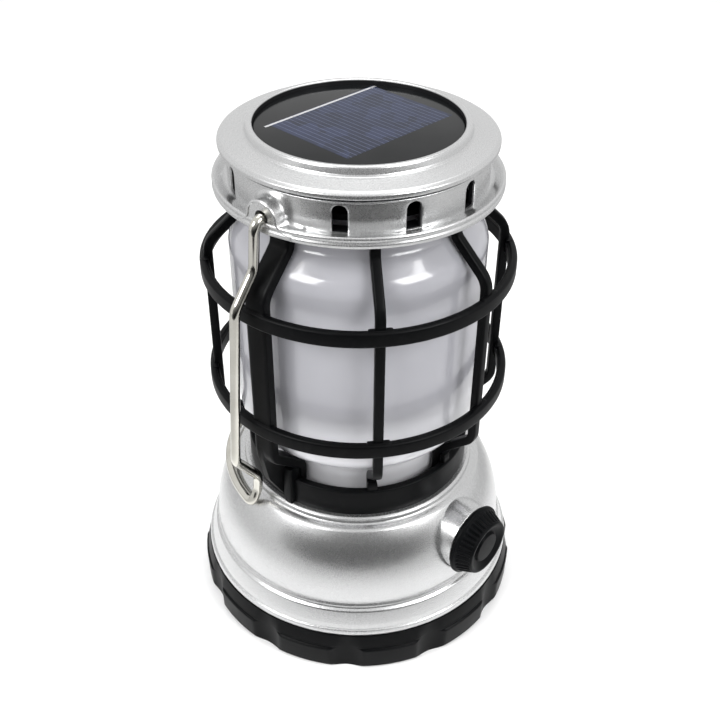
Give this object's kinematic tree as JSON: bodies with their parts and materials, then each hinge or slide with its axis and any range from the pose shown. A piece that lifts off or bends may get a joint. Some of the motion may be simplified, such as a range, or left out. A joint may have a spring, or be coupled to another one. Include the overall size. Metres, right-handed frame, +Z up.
{
  "type": "solar lantern",
  "caption": "Camping lantern with a domed silver base, a frosted jar in a caged frame, a vented crown with a round solar panel, a wire bail and a dimmer knob.",
  "frame": {"origin": "centre of the face the lantern stands on", "axes": "+Z up, the knob points to -Y (4 degrees towards -X), the bail hangs from the ears on the X axis"},
  "size_m": [0.1204, 0.1221, 0.184],
  "materials": {
    "black_plastic": "satin moulded black plastic",
    "knob_black": "satin black with a brighter ribbed edge",
    "silver_paint": "satin silver metallic paint over moulded plastic",
    "white_plastic": "matt white plastic",
    "seal_rubber": "matt rubber",
    "screw_steel": "bright plated steel",
    "board_metal": "white coated aluminium board",
    "led_resin": "yellow phosphor resin",
    "frosted_plastic": "milky white, glossy outside",
    "panel_black": "black panel backing",
    "cell_blue": "blue black crystalline cell with fine fingers",
    "solder_tin": "tinned strip",
    "panel_clear": "clear cover, high gloss",
    "bail_nickel": "polished nickel plated wire",
    "battery_can": "sleeved steel can",
    "board_green": "green solder mask",
    "chip_black": "moulded components",
    "lead_red": "insulated wire"
  },
  "bodies": {
    "lantern": {"base_cup": "black_plastic", "base_screws": "screw_steel", "base_shell": "silver_paint", "lamp_platform": "white_plastic", "globe_seal": "seal_rubber", "globe_collar": "black_plastic", "collar_screws": "screw_steel", "led_board": "board_metal", "led_chips": "led_resin", "led_board_screws": "screw_steel", "globe": "frosted_plastic", "globe_cap": "black_plastic", "cage_front": "black_plastic", "cage_rear": "black_plastic", "crown_screws": "screw_steel", "crown_housing": "silver_paint", "top_cap": "silver_paint", "panel_seal": "seal_rubber", "panel_board": "panel_black", "solar_cell": "cell_blue", "cell_busbar": "solder_tin", "panel_glass": "panel_clear", "potentiometer": "screw_steel", "potentiometer_nut": "screw_steel", "batteries": "battery_can", "battery_holder": "white_plastic", "battery_contacts": "screw_steel", "main_board": "board_green", "board_parts": "chip_black", "board_posts": "screw_steel", "board_screws": "screw_steel", "solar_lead": "lead_red", "light_lead": "lead_red"},
    "bail": {"bail_handle": "bail_nickel", "bail_retainers": "screw_steel"},
    "knob": {"knob": "knob_black", "knob_shaft": "screw_steel"}
  },
  "joints": [
    {"name": "bail_swing", "type": "hinge", "parent": "lantern", "child": "bail", "pos_m": [0, 0, 0.169], "axis": [1, 0, 0], "range_deg": [0, 290]},
    {"name": "knob_turn", "type": "hinge", "parent": "lantern", "child": "knob", "pos_m": [0, 0, 0.0418], "axis": [0.0698, 0.9976, 0], "range_deg": [0, 270]}
  ]
}
